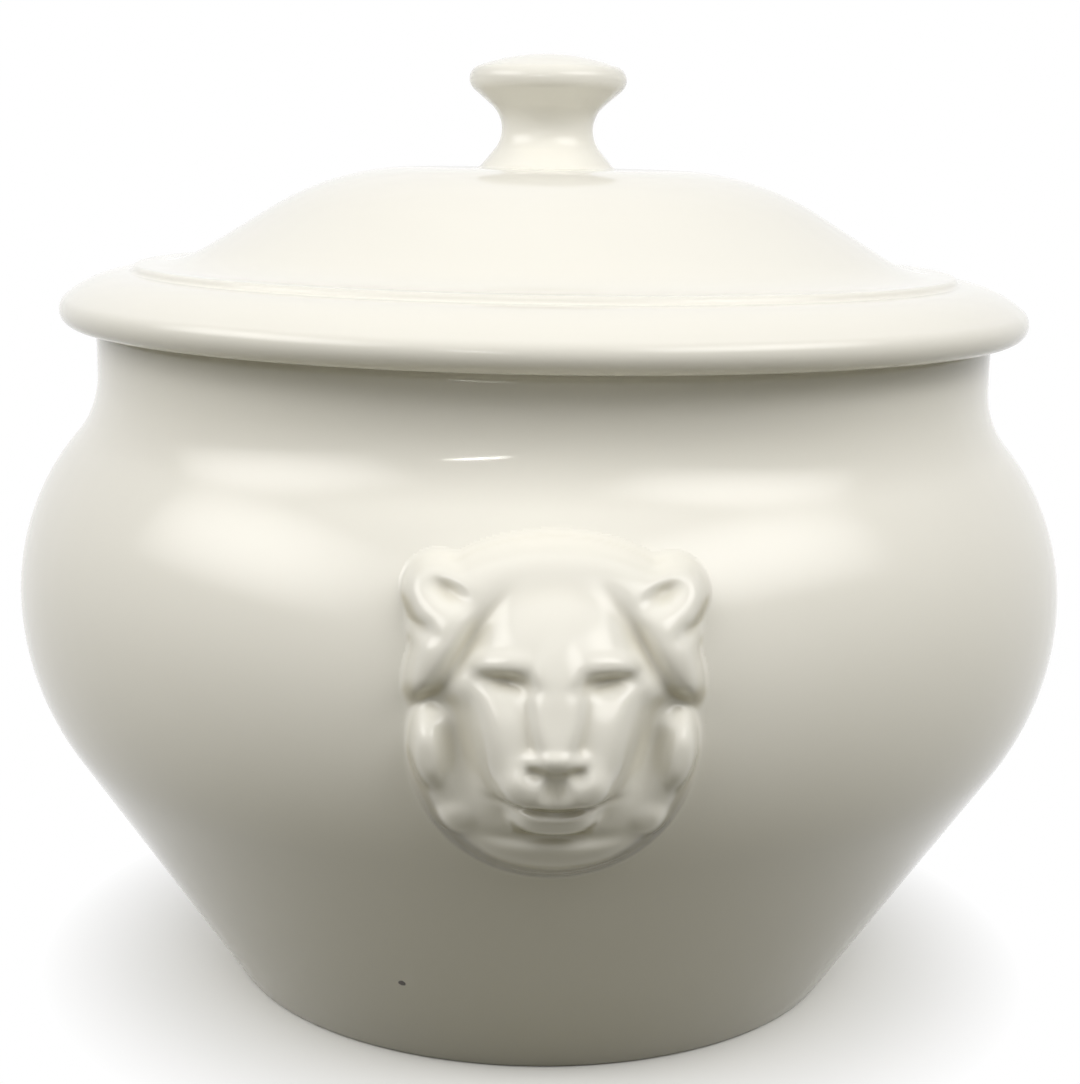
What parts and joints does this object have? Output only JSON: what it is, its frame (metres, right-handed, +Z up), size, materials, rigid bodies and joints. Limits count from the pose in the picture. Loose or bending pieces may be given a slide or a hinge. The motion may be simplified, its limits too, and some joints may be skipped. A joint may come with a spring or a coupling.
{
  "type": "lidded soup crock",
  "caption": "Round white porcelain soup crock with a full belly, lion heads in relief as lugs and a domed lid with a waisted knob, for serving onion soup hot.",
  "frame": {"origin": "middle of the foot ring, on the table", "axes": "+Z up along the axis of the bowl, -Y the way the front lion head looks, +X to its right as seen from the front"},
  "size_m": [0.13, 0.1494, 0.1151],
  "materials": {
    "bowl_glaze": "warm white porcelain under a clear gloss glaze",
    "front_head_glaze": "warm white porcelain under a clear gloss glaze",
    "back_head_glaze": "warm white porcelain under a clear gloss glaze",
    "lid_glaze": "warm white porcelain under a clear gloss glaze",
    "knob_glaze": "warm white porcelain under a clear gloss glaze"
  },
  "bodies": {
    "crock": {"bowl": "bowl_glaze", "lion_head_front": "front_head_glaze", "lion_head_back": "back_head_glaze"},
    "cover": {"lid": "lid_glaze", "lid_knob": "knob_glaze"}
  },
  "joints": [
    {"name": "lid_lift", "type": "slide", "parent": "crock", "child": "cover", "axis": [0, 0, 1], "range_m": [0, 0.12]}
  ]
}
